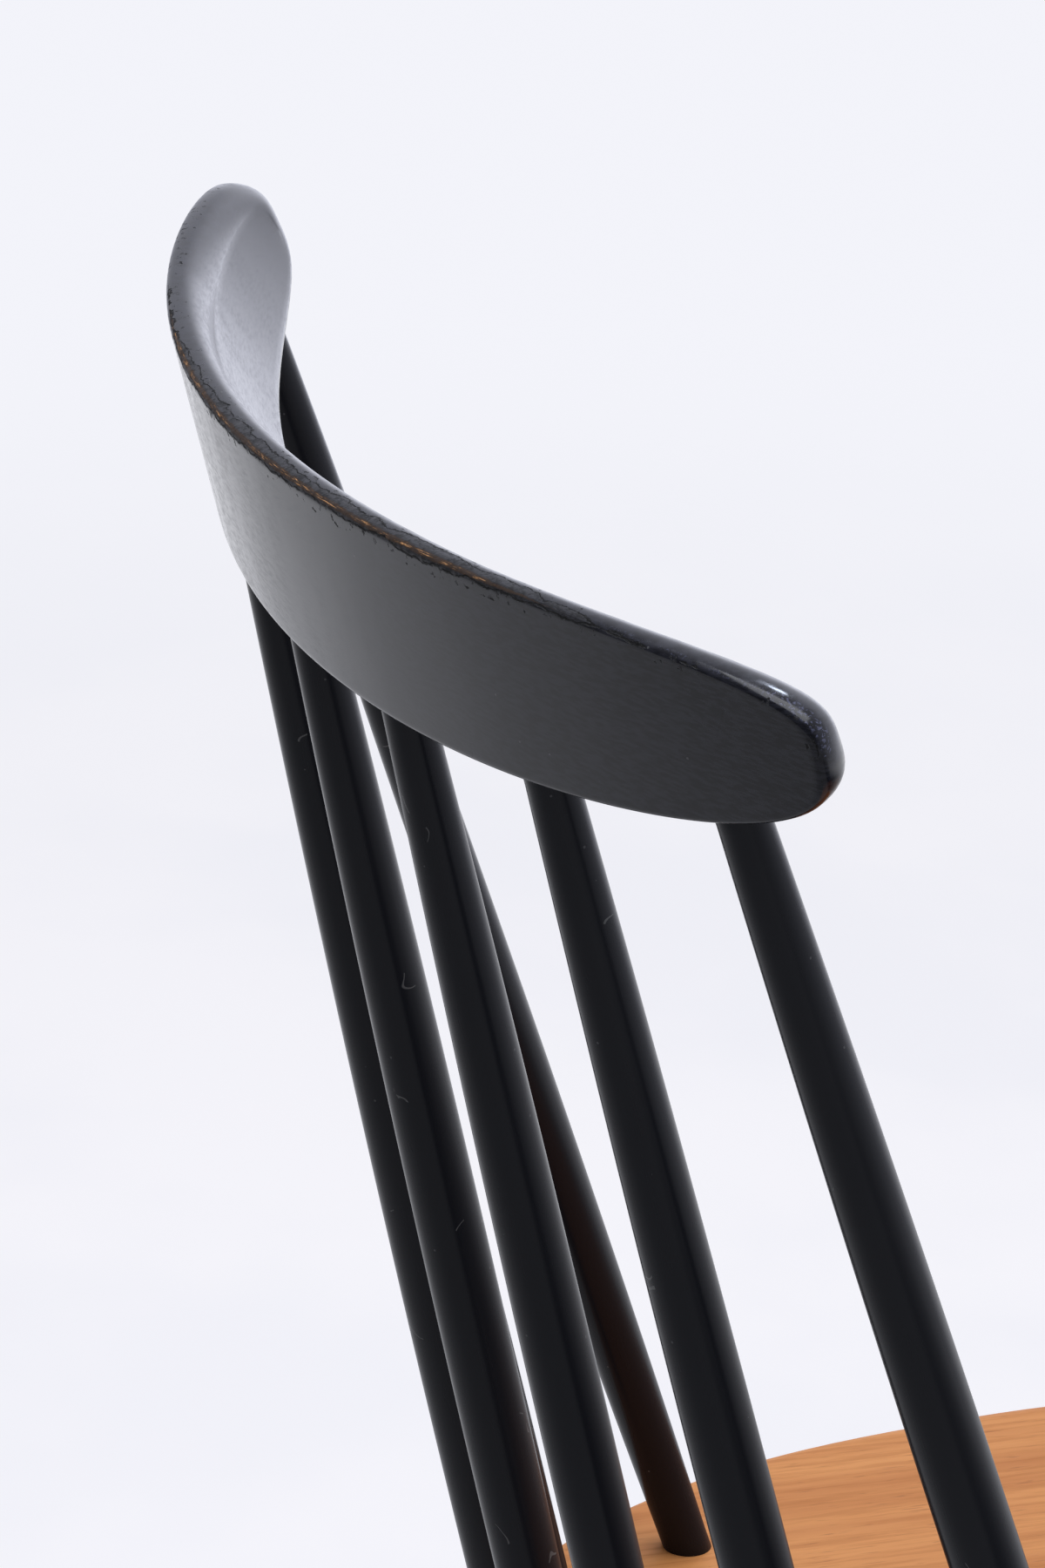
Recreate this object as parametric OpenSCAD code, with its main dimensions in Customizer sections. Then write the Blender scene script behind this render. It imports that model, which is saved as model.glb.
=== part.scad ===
// Spindle-back chair of painted birch with a plain wood seat.
// Seven turned spindles are let into the seat and into a bent crest rail.
// Four splayed legs are let into the seat, and three stretchers tie them in an H.
// Millimetres, +Z up. The sitter faces -Y, and +X is on the sitter's left.

/* [Seat] */
// Height of the seat's top above the floor
seat_height = 440; // [400:5:480]
// Width of the seat at the middle of its depth
seat_width = 440; // [380:2:500]
// Depth of the seat from its front edge to its back edge
seat_depth = 408; // [360:2:460]
// Thickness of the seat
seat_thickness = 28; // [26:1:40]
// Rounding of the seat's top edge
seat_top_round = 6; // [3:1:10]
// Rounding of the seat's lower edge
seat_low_round = 12; // [3:1:14]
// How much the outline narrows toward the back, as a fraction
seat_taper = 0.09; // [0:0.01:0.2]
// Squareness of the outline, where 2 is an ellipse
seat_squareness = 2.5; // [2:0.1:3.5]

/* [Spindles] */
// Radius where a spindle stands in the seat
spindle_foot_r = 6.1; // [5.5:0.1:9]
// Radius at the fullest part of a spindle
spindle_belly_r = 7.6; // [7:0.1:11]
// Radius where a spindle enters the crest rail
spindle_head_r = 4.7; // [4:0.1:5.6]
// Depth of a spindle's socket in the seat, along the spindle
foot_socket = 18; // [12:1:20]
// Depth of a spindle's socket in the crest rail, along the spindle
head_socket = 15; // [10:1:16]
// Distance of the spindle feet from the seat's back edge
foot_inset = 28; // [22:1:40]

/* [Crest rail] */
// Half the width of the crest rail, from its middle to its tip
rail_half = 190; // [160:1:230]
// Height of the crest rail from its lower to its upper edge, at the middle
rail_crown = 48; // [40:0.5:75]
// Height of the rail's blunt tips above its lower edge
rail_tip = 25; // [20:0.5:28]
// Thickness of the rail at its lower edge
rail_low_thick = 18; // [17:0.5:24]
// Thickness of the rail at its upper edge
rail_top_thick = 8.5; // [6.5:0.5:14]
// How far forward the rail's tips are bent from its middle
rail_bend = 52; // [30:0.5:70]
// Lean of the rail from upright, in degrees
rail_lean = 16; // [10:0.1:24]
// Height of the rail's lower edge above the seat
rail_rise = 335; // [280:1:400]
// Distance of the rail's outer face behind the seat's back edge
rail_behind = 67; // [50:1:100]
// Rounding of the outer edges of the rail
rail_outer_round = 1.5; // [1:0.1:2.4]
// How far in from the rail's edge its rounded inner side reaches
rail_inner_round = 11.5; // [4:0.5:12]
// Distance from the rail's outer face to the middle of a spindle
spindle_setback = 7.6; // [7.4:0.1:8.5]

/* [Legs] */
// Radius of a leg where it stands on the floor
leg_foot_r = 9.5; // [8:0.1:13]
// Radius at the fullest part of a leg
leg_belly_r = 16; // [14:0.1:20]
// Radius of a leg where it enters the seat
leg_head_r = 11; // [9:0.1:13]
// Depth of a leg's socket in the seat, along the leg
leg_socket = 18; // [12:1:20]
// Distance of the front leg sockets from the seat's side edge
front_leg_side = 75; // [60:1:110]
// Distance of the front leg sockets from the seat's front edge
front_leg_end = 69; // [50:1:100]
// Distance of the rear leg sockets from the seat's side edge
rear_leg_side = 89; // [70:1:120]
// Distance of the rear leg sockets from the seat's back edge
rear_leg_end = 87; // [70:1:120]
// Sideways splay of each leg between the seat and the floor
splay_side = 51; // [20:1:70]
// Forward splay of the front legs between the seat and the floor
splay_front = 78; // [40:1:95]
// Backward splay of the rear legs between the seat and the floor
splay_rear = 94; // [60:1:110]

/* [Stretchers] */
// Height of the stretchers above the floor
stretcher_height = 175; // [120:5:230]
// Radius at the middle of a stretcher
stretcher_belly_r = 11; // [9:0.1:13]
// Radius where a stretcher enters a leg or another stretcher
stretcher_end_r = 6.5; // [5:0.1:7]
// Depth of a side stretcher's socket in a leg
leg_bore = 11; // [8:1:12]
// Depth of the cross stretcher's socket in a side stretcher
stretcher_bore = 8; // [6:1:9]

/* [Hidden] */
// Degrees round the seat's outline, from the middle of the back to each spindle foot
FOOT_TURN = [0, 16.3, 37.8, 62.9];
// Share of the rail's half width at which each spindle enters it
HEAD_SHARE = [0, 0.282, 0.571, 0.855];
// Share of a spindle's length at which it is fullest
SPINDLE_BELLY = 0.35;
// Straight length kept on each round piece outside its socket
FOOT_STRAIGHT = 4;
HEAD_STRAIGHT = 3;
LEG_STRAIGHT = 6;
STRETCHER_STRAIGHT = 5;
// Exponents of the rail's upper and lower edge
CROWN_CURVE = 2.4;
LOW_CURVE = 3.9;
TIP_CURVE = 3;

SEAT_STEPS = 72;
RAIL_STEPS = 40;
TURNING_STEPS = 16;
LACQUER = [0.14, 0.14, 0.15];
SEAT_WOOD = [0.78, 0.52, 0.33];

seat_underside = seat_height - seat_thickness;
rail_base_z = seat_height + rail_rise;
// The chair's depth runs from the front feet to the top of the rail's outer face,
// and its middle is the origin
front_reach = seat_depth / 2 - front_leg_end + splay_front
    + leg_foot_r / cos(atan2(splay_front, seat_underside));
back_reach = seat_depth / 2 + rail_behind + (rail_crown - rail_outer_round) * sin(rail_lean);
seat_y = (front_reach - back_reach) / 2;

// ---- Round pieces ----

// Radius of a turned piece that goes from one end through its belly to the other
function swell(first, belly, last, at, h) =
    first * (h - at) * (h - 1) / at
    + belly * h * (h - 1) / (at * (at - 1))
    + last * h * (h - at) / (1 - at);

function unit(v) = v / norm(v);

// Tips a piece that is turned along +Z onto the line from one point to another
module along(start, end) {
    run = end - start;
    heading = atan2(run.y, run.x);
    translate(start)
        rotate([0, acos(run.z / norm(run)), heading])
            rotate([0, 0, -heading])
                children();
}

// A turned piece with a straight tenon at each end of its swelling body
module turned(length, tenons, radii, belly_at) {
    body = length - tenons[0] - tenons[1];
    side = [for (k = [0:TURNING_STEPS]) let (h = k / TURNING_STEPS)
        [swell(radii[0], radii[1], radii[2], belly_at, h), tenons[0] + h * body]];
    rotate_extrude($fn = 96)
        polygon(concat([[0, 0], [radii[0], 0]], side, [[radii[2], length], [0, length]]));
}

module socket(start, end, radius) {
    along(start, end) cylinder(r = radius, h = norm(end - start), $fn = 96);
}

// ---- Seat ----

// A point on the seat's outline, moved in from the edge, at an angle from +X
function seat_point(angle, inset) =
    let (power = 2 / seat_squareness,
         across = sign(cos(angle)) * pow(abs(cos(angle)), power),
         back = sign(sin(angle)) * pow(abs(sin(angle)), power))
    [(seat_width / 2 - inset) * across * (1 - seat_taper * back),
     (seat_depth / 2 - inset) * back + seat_y];

// The seat's edge from its top to its underside, as pairs of inset and height
seat_edge = concat(
    [for (a = [90:-30:0]) [seat_top_round * (1 - cos(a)), seat_height - seat_top_round * (1 - sin(a))]],
    [for (a = [0:30:90]) [seat_low_round * (1 - cos(a)), seat_underside + seat_low_round * (1 - sin(a))]]
);

module seat_blank() {
    rings = len(seat_edge);
    points = [for (e = seat_edge, k = [0:SEAT_STEPS - 1])
        let (p = seat_point(360 * k / SEAT_STEPS, e[0])) [p.x, p.y, e[1]]];
    polyhedron(points, concat(
        [[for (k = [SEAT_STEPS - 1:-1:0]) k]],
        [for (r = [0:rings - 2], k = [0:SEAT_STEPS - 1]) let (n = (k + 1) % SEAT_STEPS)
            [r * SEAT_STEPS + k, r * SEAT_STEPS + n, (r + 1) * SEAT_STEPS + n, (r + 1) * SEAT_STEPS + k]],
        [[for (k = [0:SEAT_STEPS - 1]) (rings - 1) * SEAT_STEPS + k]]
    ));
}

module seat() {
    color(SEAT_WOOD)
        difference() {
            seat_blank();
            for (i = [1:7]) socket(spindle_start(i), spindle_head(i), spindle_foot_r);
            for (side = [-1, 1], end = [-1, 1])
                socket(leg_end(side, end), leg_foot(side, end), leg_head_r);
        }
}

// ---- Crest rail ----

// Upper and lower edge of the rail, at a share of its half width
function rail_top(q) =
    rail_tip + (rail_crown - rail_tip) * pow(max(0, 1 - pow(abs(q), CROWN_CURVE)), 1 / TIP_CURVE);
function rail_low(q) =
    rail_tip - rail_tip * pow(max(0, 1 - pow(abs(q), LOW_CURVE)), 1 / TIP_CURVE);

// How far forward the outer face is bent, and its slope there, at a share of the half width
function rail_sag(q) = rail_bend * pow(q, 2);
function rail_slope(q) = 2 * rail_bend * q / rail_half;

// The rail's thickness at a height above its lower edge
function rail_thick(up) = rail_low_thick - (rail_low_thick - rail_top_thick) * up / rail_crown;

// A point in the rail: along its half width, inward from the outer face, and up
function rail_point(q, depth, up) =
    let (out = unit([rail_slope(q), 1]),
         x = rail_half * q - depth * out.x,
         back = -rail_sag(q) - depth * out.y)
    [x,
     seat_y + seat_depth / 2 + rail_behind + back * cos(rail_lean) + up * sin(rail_lean),
     rail_base_z - back * sin(rail_lean) + up * cos(rail_lean)];

// A point of the outline, moved in from the edge. turn runs from -90 at one tip,
// over the upper edge to 90 at the other tip, and on along the lower edge
function outline_point(turn, inset) =
    let (q = sin(turn), up = cos(turn) >= 0 ? rail_top(q) : rail_low(q))
    [q - inset * q / rail_half, up - inset * cos(turn)];

// The rail's edge from the outer face to the inner one, as pairs of depth and inset:
// a crisp outer arris, then a quarter of an ellipse that rolls over to the inner face
function rail_layers(thick) = concat(
    [for (a = [90:-45:0]) [rail_outer_round * (1 - sin(a)), rail_outer_round * (1 - cos(a))]],
    [for (a = [22.5:22.5:90])
        [rail_outer_round + (thick - rail_outer_round) * sin(a), rail_inner_round * (1 - cos(a))]]
);

module rail_blank() {
    ring = 2 * RAIL_STEPS;
    layers = len(rail_layers(rail_low_thick));
    points = [for (layer = [0:layers - 1], k = [0:ring - 1])
        let (turn = -90 + 180 * k / RAIL_STEPS,
             edge = outline_point(turn, 0),
             move = rail_layers(rail_thick(edge.y))[layer],
             p = outline_point(turn, move[1]))
        rail_point(p.x, move[0], p.y)];
    last = (layers - 1) * ring;
    polyhedron(points, concat(
        [for (k = [0:RAIL_STEPS - 1]) let (a = (ring - k) % ring, b = ring - k - 1)
            k == 0 ? [0, b, 1] : k == RAIL_STEPS - 1 ? [k, a, k + 1] : [k, a, b, k + 1]],
        [for (r = [0:layers - 2], k = [0:ring - 1]) let (n = (k + 1) % ring)
            [r * ring + k, r * ring + n, (r + 1) * ring + n, (r + 1) * ring + k]],
        [for (k = [0:RAIL_STEPS - 1]) let (a = (ring - k) % ring, b = ring - k - 1)
            k == 0 ? [last, last + 1, last + b]
                : k == RAIL_STEPS - 1 ? [last + k, last + k + 1, last + a]
                : [last + k, last + k + 1, last + b, last + a]]
    ));
}

module crest_rail() {
    color(LACQUER)
        difference() {
            rail_blank();
            for (i = [1:7]) socket(spindle_foot(i), spindle_end(i), spindle_head_r);
        }
}

// ---- Spindles ----

// A spindle's middle line from the seat's top to the rail's lower edge, and the
// bottoms of its two sockets. Spindle 1 is on the sitter's right, and 4 in the middle
function spindle_foot(i) =
    let (p = seat_point(90 - sign(i - 4) * FOOT_TURN[abs(i - 4)], foot_inset))
    [p.x, p.y, seat_height];
function spindle_head(i) =
    let (q = sign(i - 4) * HEAD_SHARE[abs(i - 4)])
    rail_point(q, spindle_setback, rail_low(q));
function spindle_way(i) = unit(spindle_head(i) - spindle_foot(i));
function spindle_start(i) = spindle_foot(i) - foot_socket * spindle_way(i);
function spindle_end(i) = spindle_head(i) + head_socket * spindle_way(i);

module spindle(i) {
    color(LACQUER)
        along(spindle_start(i), spindle_end(i))
            turned(norm(spindle_end(i) - spindle_start(i)),
                [foot_socket + FOOT_STRAIGHT, head_socket + HEAD_STRAIGHT],
                [spindle_foot_r, spindle_belly_r, spindle_head_r],
                SPINDLE_BELLY);
}

// ---- Legs ----

// side is -1 on the sitter's right, and end is -1 at the front
function leg_head(side, end) =
    [side * (seat_width / 2 - (end < 0 ? front_leg_side : rear_leg_side)),
     seat_y + end * (seat_depth / 2 - (end < 0 ? front_leg_end : rear_leg_end)),
     seat_underside];
function leg_foot(side, end) =
    let (head = leg_head(side, end))
    [head.x + side * splay_side, head.y + end * (end < 0 ? splay_front : splay_rear), 0];
function leg_way(side, end) = unit(leg_head(side, end) - leg_foot(side, end));
function leg_end(side, end) = leg_head(side, end) + leg_socket * leg_way(side, end);
// The leg's middle line and its radius at a height above the floor
function leg_at(side, end, z) =
    leg_foot(side, end) + leg_way(side, end) * z / leg_way(side, end).z;
function leg_radius(z) =
    swell(leg_foot_r, leg_belly_r, leg_head_r, 0.5, z / seat_underside);

module leg(side, end) {
    spare = leg_foot_r;
    start = leg_foot(side, end) - spare * leg_way(side, end);
    color(LACQUER)
        difference() {
            along(start, leg_end(side, end))
                turned(norm(leg_end(side, end) - start),
                    [spare + LEG_STRAIGHT, leg_socket + LEG_STRAIGHT],
                    [leg_foot_r, leg_belly_r, leg_head_r],
                    0.5);
            translate(leg_foot(side, end) - [2, 2, 1] * 2 * leg_belly_r)
                cube([4, 4, 1] * 2 * leg_belly_r);
            socket(side_stretcher_end(side, -1), side_stretcher_end(side, 1), stretcher_end_r);
        }
}

// ---- Stretchers ----

// The bottom of a side stretcher's socket in the leg at one end
function side_stretcher_end(side, end) =
    let (here = leg_at(side, end, stretcher_height),
         other = leg_at(side, -end, stretcher_height))
    here + unit(other - here) * (leg_radius(stretcher_height) - leg_bore);
function side_stretcher_middle(side) =
    (side_stretcher_end(side, -1) + side_stretcher_end(side, 1)) / 2;
// The bottom of the cross stretcher's socket in a side stretcher
function cross_stretcher_end(side) =
    side_stretcher_middle(side) - [side * (stretcher_belly_r - stretcher_bore), 0, 0];

module stretcher(start, end, bore) {
    along(start, end)
        turned(norm(end - start), [1, 1] * (bore + STRETCHER_STRAIGHT),
            [stretcher_end_r, stretcher_belly_r, stretcher_end_r], 0.5);
}

module side_stretcher(side) {
    color(LACQUER)
        difference() {
            stretcher(side_stretcher_end(side, -1), side_stretcher_end(side, 1), leg_bore);
            socket(cross_stretcher_end(-1), cross_stretcher_end(1), stretcher_end_r);
        }
}

module cross_stretcher() {
    color(LACQUER)
        stretcher(cross_stretcher_end(-1), cross_stretcher_end(1), stretcher_bore);
}

seat();
crest_rail();
for (i = [1:7])
    spindle(i);
leg(1, -1);  // leg_front_left
leg(-1, -1);  // leg_front_right
leg(1, 1);  // leg_rear_left
leg(-1, 1);  // leg_rear_right
side_stretcher(1);  // side_stretcher_left
side_stretcher(-1);  // side_stretcher_right
cross_stretcher();
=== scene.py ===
import math

import bmesh
import bpy
import numpy as np
from mathutils import Matrix, Quaternion, Vector


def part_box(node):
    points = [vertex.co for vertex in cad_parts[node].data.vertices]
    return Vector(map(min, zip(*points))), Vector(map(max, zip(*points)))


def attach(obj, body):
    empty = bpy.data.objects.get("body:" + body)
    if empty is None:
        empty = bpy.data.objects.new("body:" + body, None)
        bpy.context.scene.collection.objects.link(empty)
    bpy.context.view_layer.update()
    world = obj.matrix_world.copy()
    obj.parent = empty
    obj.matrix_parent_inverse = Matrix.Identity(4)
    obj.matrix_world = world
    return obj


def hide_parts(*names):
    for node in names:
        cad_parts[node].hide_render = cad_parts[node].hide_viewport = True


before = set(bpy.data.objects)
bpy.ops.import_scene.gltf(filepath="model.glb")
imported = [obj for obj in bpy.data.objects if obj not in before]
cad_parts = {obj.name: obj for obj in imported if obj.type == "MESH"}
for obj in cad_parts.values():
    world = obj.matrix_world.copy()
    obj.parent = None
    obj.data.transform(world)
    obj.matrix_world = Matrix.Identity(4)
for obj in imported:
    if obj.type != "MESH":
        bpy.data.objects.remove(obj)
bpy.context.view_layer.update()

mm = 0.001

# ---- Camera ----
# It stands behind the sitter's right shoulder, a little above the rail, and looks
# down along the back with a slight tilt.
YAW, PITCH, TILT = math.radians(-19.959), math.radians(20.988), math.radians(3.181)
looking = Vector((math.cos(PITCH) * math.cos(YAW), math.cos(PITCH) * math.sin(YAW), -math.sin(PITCH)))
camera = bpy.data.objects.new("camera", bpy.data.cameras.new("camera"))
camera.data.sensor_width = 36
camera.data.lens = 116.73
camera.data.clip_end = 50
camera.location = (-0.9654, 0.5344, 1.1298)
camera.rotation_euler = (looking.to_track_quat("-Z", "Y") @ Quaternion((0, 0, 1), TILT)).to_euler()
bpy.context.collection.objects.link(camera)
bpy.context.scene.camera = camera
bpy.context.scene.view_settings.view_transform = "Standard"

# ---- Room ----
# A plain white studio: a round pale floor that fades into a white backdrop, a bright
# side with a window in front of the chair, a dim side behind it, and two soft lamps.
FLOOR_RADIUS, FADE_FROM, FADE_TO = 3.4, 1.3, 2.9
BRIGHT_SIDE = Vector((0.568, -0.811, 0.139)).normalized()
WINDOW_SIDE = (0.855, -0.494, -0.156)
BRIGHT_FLOOR, SHADED_FLOOR = (0.64, -0.77, 0), (-0.2, -0.98, 0)
BACKDROP, SKY_LIGHT = (0.895, 0.9, 0.955, 1), (0.86, 0.88, 1, 1)
FLOOR_DIM, FLOOR_PALE = (0.55, 0.545, 0.56, 1), (0.6, 0.585, 0.585, 1)
FLOOR_GLOW, GLOW_STRENGTH = (0.93, 0.922, 0.93, 1), 0.497
FLOOR_MIRRORED = (0.93, 0.94, 1, 1)


def shade(tree, kind, ins=None, **settings):
    """Adds a shader node with its settings, and joins or sets its inputs"""
    made = tree.nodes.new("ShaderNode" + kind)
    for key, value in settings.items():
        setattr(made, key, value)
    for key, value in (ins or {}).items():
        if isinstance(value, bpy.types.NodeSocket):
            tree.links.new(value, made.inputs[key])
        else:
            made.inputs[key].default_value = value
    return made


def calc(tree, operation, *values):
    """A Math node's result"""
    return shade(tree, "Math", dict(enumerate(values)), operation=operation).outputs[0]


def plus(tree, first, *others):
    """The sum of all the values"""
    for other in others:
        first = calc(tree, "ADD", first, other)
    return first


def minus(tree, first, second):
    return calc(tree, "SUBTRACT", first, second)


def times(tree, first, *others):
    """The product of all the values, which for masks is where all of them hold"""
    for other in others:
        first = calc(tree, "MULTIPLY", first, other)
    return first


def layered(tree, base, *layers):
    """A base value with more added to it, each a mask times its share"""
    for mask, share in layers:
        base = calc(tree, "MULTIPLY_ADD", mask, share, base)
    return base


def ramp(tree, value, start, stop, low=0.0, high=1.0, kind="SMOOTHSTEP"):
    """A value eased from low to high as it goes from start to stop"""
    return shade(tree, "MapRange", {0: value, 1: start, 2: stop, 3: low, 4: high},
                 interpolation_type=kind).outputs[0]


def toward(tree, vector, direction):
    """How far a vector reaches in a direction"""
    return shade(tree, "VectorMath", {0: vector, 1: direction}, operation="DOT_PRODUCT").outputs["Value"]


def noise(tree, vector, scale, detail=2, roughness=0.5, distortion=0):
    """A soft random pattern, mostly between 0.3 and 0.7"""
    return shade(tree, "TexNoise", {"Vector": vector, "Scale": scale, "Detail": detail,
                                    "Roughness": roughness, "Distortion": distortion}).outputs[0]


def tint(tree, share, first, second):
    """One colour laid over another by a share"""
    return shade(tree, "Mix", {0: share, 6: first, 7: second}, data_type="RGBA").outputs[2]


def new_finish(name):
    """A new material, its nodes and its shader"""
    finish = bpy.data.materials.new(name)
    finish.use_nodes = True
    return finish, finish.node_tree, finish.node_tree.nodes["Principled BSDF"]


world = bpy.data.worlds.new("studio")
bpy.context.scene.world = world
world.use_nodes = True
tree = world.node_tree
tree.nodes.clear()
sky = shade(tree, "TexCoord").outputs["Generated"]
# The light rises slowly toward the bright side, again close to its middle, and in the window
heading = toward(tree, sky, BRIGHT_SIDE)
window = toward(tree, sky, WINDOW_SIDE)
light = plus(tree, ramp(tree, heading, -0.7, 0.95, 0.15, 0.8, "LINEAR"),
             ramp(tree, heading, 0.8, 0.94, 0, 0.4),
             ramp(tree, window, 0.9, 0.998, 0, 0.6))
around = shade(tree, "Background", {"Color": SKY_LIGHT, "Strength": light})
plain = shade(tree, "Background", {"Color": BACKDROP})
seen = shade(tree, "LightPath").outputs["Is Camera Ray"]
both = shade(tree, "MixShader", {0: seen, 1: around.outputs[0], 2: plain.outputs[0]})
shade(tree, "OutputWorld", {"Surface": both.outputs[0]})

# The floor as it is seen, with its soft shadows, and as the gloss on the chair mirrors it
floor_paint, tree, _ = new_finish("pale floor")
tree.nodes.clear()
place = shade(tree, "TexCoord").outputs["Object"]
path = shade(tree, "LightPath")
clouds = noise(tree, place, 2.2, 4, 0.6)
lit = shade(tree, "BsdfPrincipled", {
    "Base Color": tint(tree, ramp(tree, clouds, 0.38, 0.62), FLOOR_DIM, FLOOR_PALE),
    "Roughness": 0.9,
    "Emission Color": FLOOR_GLOW,
    "Emission Strength": times(tree, path.outputs["Is Camera Ray"], GLOW_STRENGTH)})
# The mirrored floor gets brighter toward the sitter's left and the bright side, and is
# darker on the shaded side
across_floor = shade(tree, "SeparateXYZ", {0: place}).outputs[0]
toward_bright = toward(tree, place, BRIGHT_FLOOR)
toward_shaded = toward(tree, place, SHADED_FLOOR)
gleam = plus(tree, ramp(tree, across_floor, -0.4, 0.4, 0.32, 0.53, "LINEAR"),
             ramp(tree, across_floor, 0.4, 1.4, 0, 0.4, "LINEAR"),
             ramp(tree, across_floor, 1.45, 1.9, 0, 0.22),
             ramp(tree, toward_shaded, 0.35, 0.85, 0, -0.32),
             ramp(tree, toward_bright, 0.9, 2.2, 0, 0.35))
mirrored = shade(tree, "Emission", {"Color": FLOOR_MIRRORED, "Strength": gleam})
near = shade(tree, "MixShader", {0: path.outputs["Is Glossy Ray"], 1: lit.outputs[0], 2: mirrored.outputs[0]})
far_gleam = layered(tree, 1, (path.outputs["Is Glossy Ray"], ramp(tree, toward_bright, 0, 2.2, -0.5, 0.2)))
far = shade(tree, "Emission", {"Color": BACKDROP, "Strength": far_gleam})
from_middle = shade(tree, "VectorMath", {0: place}, operation="LENGTH").outputs["Value"]
floor_end = shade(tree, "MixShader", {0: ramp(tree, from_middle, FADE_FROM, FADE_TO),
                                      1: near.outputs[0], 2: far.outputs[0]})
shade(tree, "OutputMaterial", {"Surface": floor_end.outputs[0]})

bm = bmesh.new()
bmesh.ops.create_circle(bm, cap_ends=True, segments=96, radius=FLOOR_RADIUS)
floor_mesh = bpy.data.meshes.new("floor")
bm.to_mesh(floor_mesh)
bm.free()
floor_mesh.materials.append(floor_paint)
floor = bpy.data.objects.new("floor", floor_mesh)
bpy.context.collection.objects.link(floor)


def lamp(name, spot, aim, size, power, colour):
    """A square soft lamp that points at a place on the chair"""
    light = bpy.data.lights.new(name, "AREA")
    light.size = size
    light.energy = power
    light.color = colour
    made = bpy.data.objects.new(name, light)
    made.location = spot
    made.rotation_euler = (Vector(aim) - Vector(spot)).to_track_quat("-Z", "Y").to_euler()
    bpy.context.collection.objects.link(made)


lamp("small front lamp", spot=(1.82, -1.0, 2.7), aim=(0, 0, 0.8), size=0.24, power=4.6, colour=(0.74, 0.82, 1))
lamp("wide top lamp", spot=(0.1, 0.1, 3.2), aim=(0, 0, 0.4), size=2.2, power=43, colour=(0.93, 0.95, 1))

# ---- Seat ----
# A solid board of warm brown wood, oiled and not painted, with straight grain from
# front to back. It is flat, squarish with round corners, and rounded over at its edges.
seat_low, seat_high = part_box("seat")
seat_middle = (seat_low.y + seat_high.y) / 2
SEAT_WIDTH, SEAT_DEPTH, SEAT_TAPER, SEAT_SQUARENESS = 440 * mm, 408 * mm, 0.09, 2.5
SEAT_TOP_ROUND, SEAT_LOW_ROUND = 6 * mm, 12 * mm
SEAT_STEPS, SEAT_CUTS = 192, 3    # points round the outline, and cuts in each rung across a face
SEAT_SHY = 0.25 * mm    # the skin lies this far inside the outline
FACE_LIP = 1 * mm       # a last ring on a flat face, just inside its rounded edge
WOOD_DARK, WOOD_LIGHT = (0.6, 0.225, 0.066, 1), (0.78, 0.335, 0.108, 1)
WOOD_GRAIN, WOOD_PORE = (0.45, 0.155, 0.046, 1), (0.26, 0.085, 0.028, 1)
# painted shade: the darker wood that the spindles' gloss mirrors
WOOD_SHADED_IN_GLOSS = (0.1, 0.022, 0.006, 1)


def seat_outline(turn, inset):
    """A point on the seat's outline, moved in from the edge"""
    across, back = (math.copysign(abs(v) ** (2 / SEAT_SQUARENESS), v)
                    for v in (math.cos(turn), math.sin(turn)))
    return ((SEAT_WIDTH / 2 - inset) * across * (1 - SEAT_TAPER * back),
            seat_middle + (SEAT_DEPTH / 2 - inset) * back)


def ring_stack(steps, layers):
    """A band of rings, each drawn out from the one before. Each point keeps its step and its layer"""
    bm = bmesh.new()
    step = bm.verts.layers.int.new("step")
    layer = bm.verts.layers.int.new("layer")
    for v in bmesh.ops.create_circle(bm, segments=steps, radius=1)["verts"]:
        v[step] = round(math.atan2(v.co.y, v.co.x) / math.tau * steps) % steps
    edges = list(bm.edges)
    for k in range(1, layers):
        drawn = bmesh.ops.extrude_edge_only(bm, edges=edges)["geom"]
        for v in (v for v in drawn if isinstance(v, bmesh.types.BMVert)):
            v[layer] = k
        edges = [e for e in drawn if isinstance(e, bmesh.types.BMEdge)
                 and all(v[layer] == k for v in e.verts)]
    return bm, step, layer


def close_ends(bm, step, layer, layers, pairs, cuts):
    """Fills both ends, and splits each fill into a ladder between pairs of steps"""
    for end in (0, layers - 1):
        ring = [v for v in bm.verts if v[layer] == end]
        by_step = {v[step]: v for v in ring}
        rim = {e for v in ring for e in v.link_edges if e.other_vert(v) in by_step.values()}
        bmesh.ops.contextual_create(bm, geom=list(rim))
        rungs = [bmesh.ops.connect_vert_pair(bm, verts=[by_step[a], by_step[b]])["edges"] for a, b in pairs]
        bmesh.ops.subdivide_edges(bm, edges=[e for r in rungs for e in r], cuts=cuts, use_grid_fill=True)


def finish_piece(bm, name, material, nodes):
    """Turns a mesh into a smooth piece that rides on the chair and stands for its CAD nodes"""
    bmesh.ops.recalc_face_normals(bm, faces=bm.faces)
    mesh = bpy.data.meshes.new(name)
    bm.to_mesh(mesh)
    bm.free()
    mesh.shade_smooth()
    mesh.materials.append(material)
    piece = bpy.data.objects.new(name, mesh)
    bpy.context.collection.objects.link(piece)
    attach(piece, "root")
    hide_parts(*nodes)


def stretched(tree, vector, scale, turn=(0, 0, 0)):
    """Pattern space turned, then drawn out along an axis where its scale is small"""
    return shade(tree, "Mapping", {"Vector": vector, "Rotation": turn, "Scale": scale}).outputs[0]


def coats(tree, colour, *layers):
    """A colour with others laid over it in turn, each by its share"""
    for share, over in layers:
        colour = tint(tree, share, colour, over)
    return colour


def surface(tree, bsdf, colour, roughness, height, strength, depth):
    """Joins a finish's colour, its gloss and its relief to the shader"""
    tree.links.new(colour, bsdf.inputs["Base Color"])
    tree.links.new(roughness, bsdf.inputs["Roughness"])
    lift = shade(tree, "Bump", {"Height": height, "Strength": strength, "Distance": depth})
    tree.links.new(lift.outputs[0], bsdf.inputs["Normal"])
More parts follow.
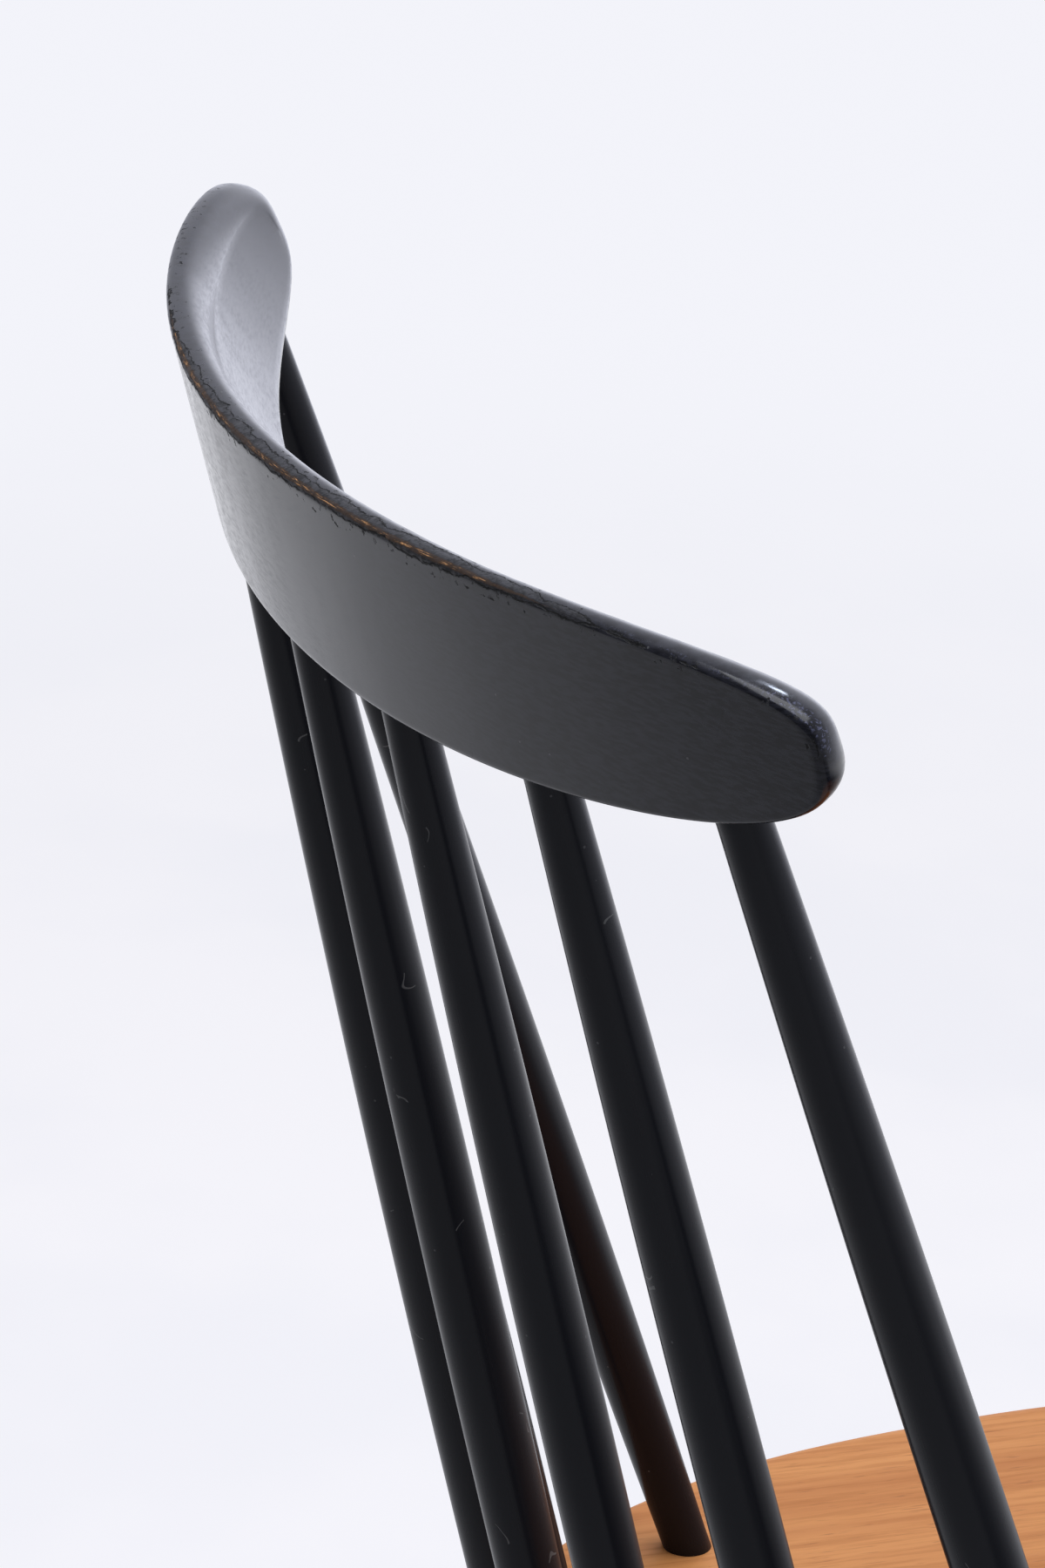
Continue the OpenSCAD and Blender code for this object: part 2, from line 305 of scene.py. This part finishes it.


# Broad bands, fine streaks and short dark pores. Where the spindles' gloss mirrors the seat, its colour is
# painted darker, a painted shade in those reflections
seat_wood, tree, bsdf = new_finish("oiled seat wood")
bsdf.inputs["IOR"].default_value = 1.28
place = shade(tree, "TexCoord").outputs["Object"]
board_grain = stretched(tree, place, (1, 0.045, 1))
broad = noise(tree, board_grain, 55, 3, distortion=0.3)
fine = noise(tree, board_grain, 420, 5, 0.7)
pores = noise(tree, stretched(tree, place, (1, 0.09, 1)), 900)
in_gloss = shade(tree, "LightPath").outputs["Is Glossy Ray"]
colour = coats(tree, tint(tree, ramp(tree, broad, 0.32, 0.68), WOOD_DARK, WOOD_LIGHT),
               (ramp(tree, fine, 0.43, 0.64, 0, 0.38), WOOD_GRAIN),
               (ramp(tree, pores, 0.6, 0.74, 0, 0.4), WOOD_PORE),
               (times(tree, in_gloss, 0.65), WOOD_SHADED_IN_GLOSS))
surface(tree, bsdf, colour, ramp(tree, fine, 0.3, 0.7, 0.5, 0.62), fine, 0.15, 0.2 * mm)

seat_edge = [(SEAT_TOP_ROUND + FACE_LIP, seat_high.z)]
seat_edge += [(SEAT_TOP_ROUND * (1 - math.cos(a)), seat_high.z - SEAT_TOP_ROUND * (1 - math.sin(a)))
              for a in np.radians(np.arange(90, -1, -15))]
seat_edge += [(SEAT_LOW_ROUND * (1 - math.cos(a)), seat_low.z + SEAT_LOW_ROUND * (1 - math.sin(a)))
              for a in np.radians(np.arange(0, 91, 10))]
seat_edge += [(SEAT_LOW_ROUND + FACE_LIP, seat_low.z)]
bm, step, layer = ring_stack(SEAT_STEPS, len(seat_edge))
for v in bm.verts:
    inset, height = seat_edge[v[layer]]
    v.co = (*seat_outline(math.tau * v[step] / SEAT_STEPS, inset + SEAT_SHY), height)
half = SEAT_STEPS // 2
across_back = [(k, half - k) for k in range(half // 2 - 1, 0, -1)]
across_front = [(SEAT_STEPS - k, half + k) for k in range(1, half // 2)]
close_ends(bm, step, layer, len(seat_edge), across_back + [(0, half)] + across_front, SEAT_CUTS)
finish_piece(bm, "seat_board", seat_wood, ["seat"])

# ---- Crest rail ----
# The board across the top of the back: sawn to a long curved outline, thinner at its
# upper edge, and bent. It is painted black, and years of hands have rubbed its upper
# outer edge down to the wood, with chipped paint on both sides of the rubbed line.
RAIL_HALF, RAIL_CROWN, RAIL_TIP = 190 * mm, 48 * mm, 25 * mm
RAIL_LOW_THICK, RAIL_TOP_THICK = 18 * mm, 8.5 * mm
RAIL_BEND, RAIL_LEAN = 52 * mm, math.radians(16)
RAIL_RISE, RAIL_BEHIND = 335 * mm, 67 * mm
CROWN_CURVE, LOW_CURVE, TIP_CURVE = 2.4, 3.9, 3
OUTER_ROUND, INNER_ROUND = 1.8 * mm, 11.5 * mm
FULL_SPAN, FULL_ROUND, FULL_POWER = 0.55, 2.5 * mm, 0.22    # how the inner rounding swells mid-rail
RAIL_STEPS, RAIL_CUTS, RIM_POINTS = 288, 13, 1441
RAIL_SHY, TIP_EXTRA = 0.35 * mm, 1 * mm    # the skin lies inside the outline, but its tips reach further
OUTER_LIP = 0.8 * mm
RAIL_END = RAIL_HALF + TIP_EXTRA


def rail_top(q):
    return RAIL_TIP + (RAIL_CROWN - RAIL_TIP) * max(0, 1 - abs(q) ** CROWN_CURVE) ** (1 / TIP_CURVE)


def rail_low(q):
    return RAIL_TIP - RAIL_TIP * max(0, 1 - abs(q) ** LOW_CURVE) ** (1 / TIP_CURVE)


def rail_rim(turn):
    """Share of the rail's half length, and height, at a turn round the flat board's outline"""
    q = math.cos(turn)
    return q, rail_top(q) if math.sin(turn) >= 0 else rail_low(q)


def rail_point(along, depth, up):
    """Bends a point of the flat board and leans it back. depth runs inward from the outer face"""
    q = along / RAIL_HALF
    out = Vector((2 * RAIL_BEND * q / RAIL_HALF, 1)).normalized()
    back = -RAIL_BEND * q * q - depth * out.y
    lean_out, lean_up = math.sin(RAIL_LEAN), math.cos(RAIL_LEAN)
    return Vector((along - depth * out.x,
                   seat_middle + SEAT_DEPTH / 2 + RAIL_BEHIND + back * lean_up + up * lean_out,
                   seat_high.z + RAIL_RISE - back * lean_out + up * lean_up))


def rail_rounding(outer, inner, thick, fuller):
    """Inset and depth where the crisp outer rounding has turned through an angle, and after it
    the quarter ellipse that rolls over to the inner face"""
    power = 1 - FULL_POWER * fuller
    roll = INNER_ROUND - FULL_ROUND * fuller
    return (OUTER_ROUND * (1 - math.sin(outer)) + roll * (1 - math.cos(inner) ** power),
            OUTER_ROUND * (1 - math.cos(outer)) + (thick - OUTER_ROUND) * math.sin(inner) ** power)


# Each ring's outer and inner turn in degrees, and how far it steps in onto a flat face
rail_rings = [(0, 0, OUTER_LIP)] + [(a, 0, 0) for a in range(0, 91, 18)]
rail_rings += [(90, a, 0) for a in range(6, 91, 6)] + [(90, 90, FACE_LIP)]
bm, step, layer = ring_stack(RAIL_STEPS, len(rail_rings))
for v in bm.verts:
    turn = math.tau * v[step] / RAIL_STEPS
    q, up = rail_rim(turn)
    outer, inner, lip = rail_rings[v[layer]]
    thick = RAIL_LOW_THICK - (RAIL_LOW_THICK - RAIL_TOP_THICK) * up / RAIL_CROWN
    inset, depth = rail_rounding(math.radians(outer), math.radians(inner), thick,
                                 max(0, 1 - (q / FULL_SPAN) ** 2))
    inset += lip + RAIL_SHY
    v.co = ((RAIL_END - inset) * q, up - inset * math.sin(turn), depth)
top_to_low = [(k, RAIL_STEPS - k) for k in range(1, RAIL_STEPS // 2)]
close_ends(bm, step, layer, len(rail_rings), top_to_low, RAIL_CUTS)

# Each point keeps how far it lies over the arris in mm, down the outer face if below zero,
# and its height as a share of the board's height there
arris = bm.verts.layers.float.new("arris")
upper = bm.verts.layers.float.new("upper")
rim = np.array([(RAIL_END * q, up) for q, up in map(rail_rim, np.linspace(0, math.tau, RIM_POINTS))])
for v in bm.verts:
    along, up, depth = v.co
    gap = np.hypot(rim[:, 0] - along, rim[:, 1] - up).min()
    low_here, top_here = rail_low(along / RAIL_HALF), rail_top(along / RAIL_HALF)
    v[upper] = (up - low_here) / max(top_here - low_here, 1 * mm)
    v[arris] = (depth - gap if depth < OUTER_ROUND + 0.01 * mm else depth + gap) / mm
    v.co = rail_point(along, depth, up)


def effect_group(name, **numbers):
    """A shader group that takes a pattern vector and some numbers, and gives a mask"""
    group = bpy.data.node_groups.new(name, "ShaderNodeTree")
    group.interface.new_socket("Vector", in_out="INPUT", socket_type="NodeSocketVector")
    for key, default in numbers.items():
        group.interface.new_socket(key, in_out="INPUT", socket_type="NodeSocketFloat").default_value = default
    group.interface.new_socket("Mask", in_out="OUTPUT", socket_type="NodeSocketFloat")
    return group, group.nodes.new("NodeGroupInput").outputs, group.nodes.new("NodeGroupOutput").inputs


def chosen_cells(group, cells, channel, share):
    """Picks a share of the cells by a channel of their colours"""
    colours = shade(group, "SeparateColor", {0: cells.outputs["Color"]})
    return calc(group, "LESS_THAN", colours.outputs[channel], share)


def effect(tree, group, **ins):
    """Places a shared effect in a material and gives its mask"""
    return shade(tree, "Group", ins, node_tree=group).outputs["Mask"]


# Dust specks are small dots in a share of all cells. Hair-fine scratches are thin level lines
# of a noise, kept in a share of them. All the painted pieces have both
specks, given, result = effect_group("specks", Scale=100, Size=0.1, Share=0.5)
cells = shade(specks, "TexVoronoi", {"Vector": given["Vector"], "Scale": given["Scale"]})
dots = calc(specks, "LESS_THAN", cells.outputs["Distance"], given["Size"])
chosen = chosen_cells(specks, cells, 0, given["Share"])
specks.links.new(times(specks, chosen, dots), result["Mask"])

hairs, given, result = effect_group("hairlines", Scale=20, Width=0.004, Share=0.2)
wander = noise(hairs, given["Vector"], given["Scale"], 1.5)
line = calc(hairs, "LESS_THAN", calc(hairs, "ABSOLUTE", minus(hairs, wander, 0.5)), given["Width"])
cells = shade(hairs, "TexVoronoi", {"Vector": given["Vector"], "Scale": times(hairs, given["Scale"], 4)})
chosen = chosen_cells(hairs, cells, 1, given["Share"])
hairs.links.new(times(hairs, line, chosen), result["Mask"])

PAINT_DEEP, PAINT_RUBBED = (0.0045, 0.0048, 0.0085, 1), (0.0175, 0.0185, 0.0265, 1)
WORN_DARK, WORN_GREY = (0.008, 0.008, 0.0095, 1), (0.048, 0.048, 0.057, 1)
# The crack's black is painted shade, darker than the black coat itself
WORN_SMUDGE, CRACK_SHADE_BLACK = (0.002, 0.002, 0.0025, 1), (0.0008, 0.0008, 0.0008, 1)
BARE_DARK, BARE_GOLD = (0.05, 0.028, 0.016, 1), (0.75, 0.39, 0.16, 1)
FLECK_BLUE, RAIL_DUST = (0.1, 0.107, 0.175, 1), (0.5, 0.5, 0.5, 1)
RUBBED_BROWN, RIM_BROWN = (0.06, 0.022, 0.013, 1), (0.12, 0.085, 0.065, 1)
BROWN_SPOT = (-0.1875, 0.1935, 0.8025)    # its middle, low on the tip of the sitter's right


def reach(tree, along, left, right):
    """A width in mm that dies away toward both tips, each given as a ramp along the rail"""
    return calc(tree, "MINIMUM", ramp(tree, along, *left), ramp(tree, along, *right))


worn_paint, tree, bsdf = new_finish("worn black paint")
bsdf.inputs["IOR"].default_value = 1.45
place = shade(tree, "TexCoord").outputs["Object"]
over_edge = shade(tree, "Attribute", attribute_name="arris").outputs["Fac"]
high_up = shade(tree, "Attribute", attribute_name="upper").outputs["Fac"]
along_rail = calc(tree, "DIVIDE", shade(tree, "SeparateXYZ", {0: place}).outputs[0], RAIL_HALF)
on_top = ramp(tree, high_up, 0.4, 0.6)
underneath = minus(tree, 1, on_top)

# How far the coat is rubbed off, in mm over the edge and in mm down the outer face. Its ragged border is a
# thin crack, coloured with painted shade darker than the coat, with small flakes lost beside it
over_reach = reach(tree, along_rail, (0.68, -0.1, -1, 3.6), (-0.84, -0.56, -1.2, 3.6))
down_reach = reach(tree, along_rail, (0.55, 0.1, -0.6, 1.9), (-0.8, -0.5, 0.1, 1.6))
ragged = noise(tree, place, 430, 5, 0.6)
wavy = noise(tree, place, 95)
sway = layered(tree, -3.25, (wavy, 6.5), (minus(tree, ragged, 0.5), 3.4))
past_top = minus(tree, plus(tree, over_edge, sway), over_reach)
past_face = minus(tree, layered(tree, times(tree, over_edge, -1), (sway, 0.55)), down_reach)
flakes = times(tree, ramp(tree, noise(tree, place, 520, 3, 0.55), 0.6, 0.64),
               ramp(tree, along_rail, 0.1, 0.4, 2.4, 5.5))
border = layered(tree, minus(tree, calc(tree, "MAXIMUM", past_top, past_face), flakes), (underneath, 20))
worn_off = ramp(tree, border, 0.1, -0.1)
crack_and_shade = ramp(tree, calc(tree, "ABSOLUTE", border), 0.36, 0.16)

# The bare wood strip on the arris, with golden flecks along it
edge_line = shade(tree, "CombineXYZ", {0: times(tree, along_rail, 32), 1: times(tree, over_edge, 2.6)})
flecks = noise(tree, edge_line.outputs[0], 1.2, 4, 0.6)
patches = noise(tree, place, 75)
speckle = noise(tree, place, 1500, 4, 0.65)
strip = calc(tree, "ABSOLUTE", plus(tree, over_edge, layered(tree, -0.7, (ragged, 1.4))))
past_strip = minus(tree, strip, reach(tree, along_rail, (0.6, 0.25, -0.4, 0.85), (-0.86, -0.5, -0.7, 0.85)))
bare = times(tree, ramp(tree, past_strip, 0.2, -0.2), on_top)
golden = times(tree, ramp(tree, flecks, 0.54, 0.6), ramp(tree, patches, 0.36, 0.54),
               ramp(tree, past_strip, -0.25, -0.55), ramp(tree, speckle, 0.36, 0.48, 0.35, 1))

# Pale bluish flecks where the arris turns round the tip, and the coat rubbed brown below it
turned = ramp(tree, along_rail, -0.91, -0.985)
fleck_line = layered(tree, 0.8, (turned, 1.8))
fleck_width = layered(tree, 0.7, (turned, 1.5))
off_line = minus(tree, calc(tree, "ABSOLUTE", minus(tree, over_edge, fleck_line)), fleck_width)
begun = layered(tree, ramp(tree, along_rail, -0.62, -0.84, 0, 0.4), (turned, 0.6))
pale = times(tree, ramp(tree, speckle, 0.53, 0.61), ramp(tree, off_line, 0.5, -0.5), on_top,
             begun, ramp(tree, patches, 0.38, 0.52))
from_spot = shade(tree, "VectorMath", {0: place, 1: BROWN_SPOT}, operation="DISTANCE").outputs["Value"]
browned = times(tree, ramp(tree, layered(tree, from_spot, (ragged, 0.006)), 0.0105, 0.0075),
                ramp(tree, over_edge, -0.7, -0.1))
low_rim = times(tree, underneath, ramp(tree, along_rail, -0.92, -0.8),
                ramp(tree, calc(tree, "ABSOLUTE", plus(tree, over_edge, 0.1)), 0.5, 0.2))

# Fine slanting rubs, hazy patches where hands polish the coat, dark smudges on the worn band,
# dust, a few upright scratches and slow waves in the board
rubs = noise(tree, stretched(tree, place, (0.2, 0.2, 1), (0, math.radians(24), 0)), 1500, 3, 0.6)
haze = noise(tree, stretched(tree, place, (1, 1, 0.12)), 150, 4)
smudges = times(tree, worn_off, ramp(tree, noise(tree, place, 620, 4, 0.65), 0.47, 0.6))
dust = effect(tree, specks, Vector=place, Scale=230, Size=0.06, Share=0.2)
scratch = effect(tree, hairs, Vector=stretched(tree, place, (1, 1, 0.08)), Scale=60, Width=0.005, Share=0.12)
waves = noise(tree, stretched(tree, place, (1, 1, 0.5)), 22, 0)

colour = coats(tree, tint(tree, ramp(tree, rubs, 0.4, 0.6), PAINT_DEEP, PAINT_RUBBED),
               (worn_off, tint(tree, ramp(tree, flecks, 0.42, 0.62), WORN_DARK, WORN_GREY)),
               (times(tree, smudges, 0.65), WORN_SMUDGE),
               (bare, tint(tree, golden, BARE_DARK, BARE_GOLD)),
               # painted shade along the crack
               (crack_and_shade, CRACK_SHADE_BLACK),
               (pale, FLECK_BLUE),
               (browned, RUBBED_BROWN),
               (times(tree, low_rim, 0.4), RIM_BROWN),
               (times(tree, dust, 0.2), RAIL_DUST))
satin = plus(tree, ramp(tree, rubs, 0.3, 0.7, 0.11, 0.22), ramp(tree, haze, 0.35, 0.65, -0.01, 0.04))
satin = layered(tree, satin, (worn_off, ramp(tree, flecks, 0.4, 0.65, 0.16, 0.38)), (smudges, 0.2),
                (bare, 0.15), (crack_and_shade, 0.35))
height = layered(tree, times(tree, minus(tree, 1, worn_off), 0.24), (crack_and_shade, -0.45),
                 (times(tree, ragged, worn_off), 0.3), (rubs, 0.0012), (waves, 0.35), (scratch, -0.05))
surface(tree, bsdf, colour, satin, height, 1, 1 * mm)
finish_piece(bm, "crest_board", worn_paint, ["crest_rail"])

# ---- Spindles ----
# Seven turned rods, fullest a third of the way up, let into the seat and the rail.
# They are painted black, and carry dust and hair-fine scratches.
SPINDLE_RADII, SPINDLE_BELLY = (6.3 * mm, 7.6 * mm, 5.2 * mm), 0.35
FOOT_INSET, SPINDLE_SETBACK = 28 * mm, 7.6 * mm
FOOT_TURN, HEAD_SHARE = (0, 16.3, 37.8, 62.9), (0, 0.282, 0.571, 0.855)    # from the middle one outward
FOOT_TENON, HEAD_TENON, SPINDLE_STRAIGHT = 18 * mm, 15 * mm, (22 * mm, 18 * mm)
ROD_STEPS, ROD_RINGS = 72, 41
PATTERN_APART = 1.3    # between two rods in pattern space, so that no two wear alike
SPINDLE_BLACK = (0.012, 0.0129, 0.0167, 1)
ROD_DUST, ROD_SCRATCH = (0.3, 0.3, 0.3, 1), (0.5, 0.5, 0.48, 1)


def swell(radii, belly_at, h):
    """Radius of a turned piece at a share of its length"""
    first, belly, last = radii
    return (first * (h - belly_at) * (h - 1) / belly_at + belly * h * (h - 1) / (belly_at * (belly_at - 1))
            + last * h * (h - belly_at) / (1 - belly_at))


def turned_rod(start, end, straight, radii, belly_at, number):
    """Spins a rod's half profile round its line. straight is the length kept plain at each end,
    and number sets its pattern apart from the other rods'"""
    length = (end - start).length
    body = length - sum(straight)
    half_profile = [(0, 0), (radii[0], 0)]
    half_profile += [(swell(radii, belly_at, h), straight[0] + h * body)
                     for h in np.linspace(0, 1, ROD_RINGS)]
    half_profile += [(radii[2], length), (0, length)]
    bm = bmesh.new()
    points = [bm.verts.new((r, 0, a)) for r, a in half_profile]
    edges = [bm.edges.new(pair) for pair in zip(points, points[1:])]
    bmesh.ops.spin(bm, geom=points + edges, cent=(0, 0, 0), axis=(0, 0, 1), angle=math.tau,
                   steps=ROD_STEPS, use_merge=True)
    bmesh.ops.remove_doubles(bm, verts=bm.verts, dist=0.001 * mm)
    rod = bm.verts.layers.float_vector.new("rod")
    for v in bm.verts:
        v[rod] = v.co + Vector((0, 0, PATTERN_APART * number))
    bmesh.ops.transform(bm, verts=bm.verts, matrix=Matrix.Translation(start)
                        @ (end - start).to_track_quat("Z", "Y").to_matrix().to_4x4())
    return bm


def rod_paint(name, black):
    """Satin black paint for a turned rod, with its grain and marks along the rod"""
    paint, tree, bsdf = new_finish(name)
    bsdf.inputs["IOR"].default_value = 1.34
    rod = shade(tree, "Attribute", attribute_name="rod").outputs["Vector"]
    grain = noise(tree, stretched(tree, rod, (1, 1, 0.06)), 300, 3)
    dust = effect(tree, specks, Vector=rod, Scale=240, Size=0.07, Share=0.25)
    hair = effect(tree, hairs, Vector=rod, Scale=60, Width=0.004, Share=0.04)
    colour = coats(tree, black, (times(tree, dust, 0.2), ROD_DUST), (times(tree, hair, 0.2), ROD_SCRATCH))
    surface(tree, bsdf, colour, ramp(tree, grain, 0.3, 0.7, 0.22, 0.28), grain, 0.25, 0.1 * mm)
    return paint


spindle_paint = rod_paint("spindle paint", SPINDLE_BLACK)
for i in range(1, 8):
    side, away = (i > 4) - (i < 4), abs(i - 4)
    foot = Vector((*seat_outline(math.radians(90 - side * FOOT_TURN[away]), FOOT_INSET), seat_high.z))
    q = side * HEAD_SHARE[away]
    head = rail_point(q * RAIL_HALF, SPINDLE_SETBACK, rail_low(q))
    way = (head - foot).normalized()
    bm = turned_rod(foot - FOOT_TENON * way, head + HEAD_TENON * way, SPINDLE_STRAIGHT,
                    SPINDLE_RADII, SPINDLE_BELLY, i)
    finish_piece(bm, f"rod_{i}", spindle_paint, [f"spindle_{i}"])

# ---- Legs ----
# Four splayed legs, turned like the spindles but thicker, let into the seat's
# underside and sawn flat at the floor. They are painted black.
LEG_RADII, LEG_BELLY = (9.5 * mm, 16 * mm, 11 * mm), 0.5
LEG_SOCKET, LEG_STRAIGHT, LEG_SPARE = 18 * mm, 6 * mm, 9.5 * mm
SPLAY_SIDE = 51 * mm
# Which end, its name, how far in from the seat's side and end the leg's top is, and its splay
LEG_ENDS = ((-1, "front", 75 * mm, 69 * mm, 78 * mm), (1, "rear", 89 * mm, 87 * mm, 94 * mm))
LEG_BLACK = (0.0075, 0.008, 0.0098, 1)
leg_paint = rod_paint("leg paint", LEG_BLACK)
leg_lines = {}
for side, hand in ((-1, "right"), (1, "left")):
    for end, end_name, from_side, from_end, splay in LEG_ENDS:
        head = Vector((side * (SEAT_WIDTH / 2 - from_side),
                       seat_middle + end * (SEAT_DEPTH / 2 - from_end), seat_low.z))
        foot = Vector((head.x + side * SPLAY_SIDE, head.y + end * splay, 0))
        way = (head - foot).normalized()
        leg_lines[side, end] = (foot, way)
        bm = turned_rod(foot - LEG_SPARE * way, head + LEG_SOCKET * way,
                        (LEG_SPARE + LEG_STRAIGHT, LEG_SOCKET + LEG_STRAIGHT),
                        LEG_RADII, LEG_BELLY, 10 + 2 * side + end)
        cut = bmesh.ops.bisect_plane(bm, geom=list(bm.verts) + list(bm.edges) + list(bm.faces),
                                     plane_co=(0, 0, 0), plane_no=(0, 0, 1), clear_inner=True)["geom_cut"]
        bmesh.ops.contextual_create(bm, geom=[e for e in cut if isinstance(e, bmesh.types.BMEdge)])
        finish_piece(bm, f"turned_leg_{end_name}_{hand}", leg_paint,
                     [f"leg_{end_name}_{hand}"])

# ---- Stretchers ----
# Three thin turned bars in an H, one between the legs on each side and one across.
# Their ends are let into the legs and into each other.
BAR_HEIGHT, BAR_RADII, BAR_BELLY = 175 * mm, (6.5 * mm, 11 * mm, 6.5 * mm), 0.5
SIDE_STEP, SIDE_STRAIGHT = 4 * mm, (16 * mm, 16 * mm)    # the bars start this far in from the leg's line
CROSS_STEP, CROSS_STRAIGHT = 3 * mm, (13 * mm, 13 * mm)
middles = {}
for side, hand in ((-1, "right"), (1, "left")):
    front, rear = (foot + way * BAR_HEIGHT / way.z for foot, way in (leg_lines[side, -1], leg_lines[side, 1]))
    middles[side] = (front + rear) / 2
    inward = (rear - front).normalized() * SIDE_STEP
    bm = turned_rod(front + inward, rear - inward, SIDE_STRAIGHT, BAR_RADII, BAR_BELLY, 20 + side)
    finish_piece(bm, f"side_bar_{hand}", leg_paint, [f"side_stretcher_{hand}"])
inward = Vector((CROSS_STEP, 0, 0))
bm = turned_rod(middles[-1] + inward, middles[1] - inward, CROSS_STRAIGHT, BAR_RADII, BAR_BELLY, 25)
finish_piece(bm, "cross_bar", leg_paint, ["cross_stretcher"])
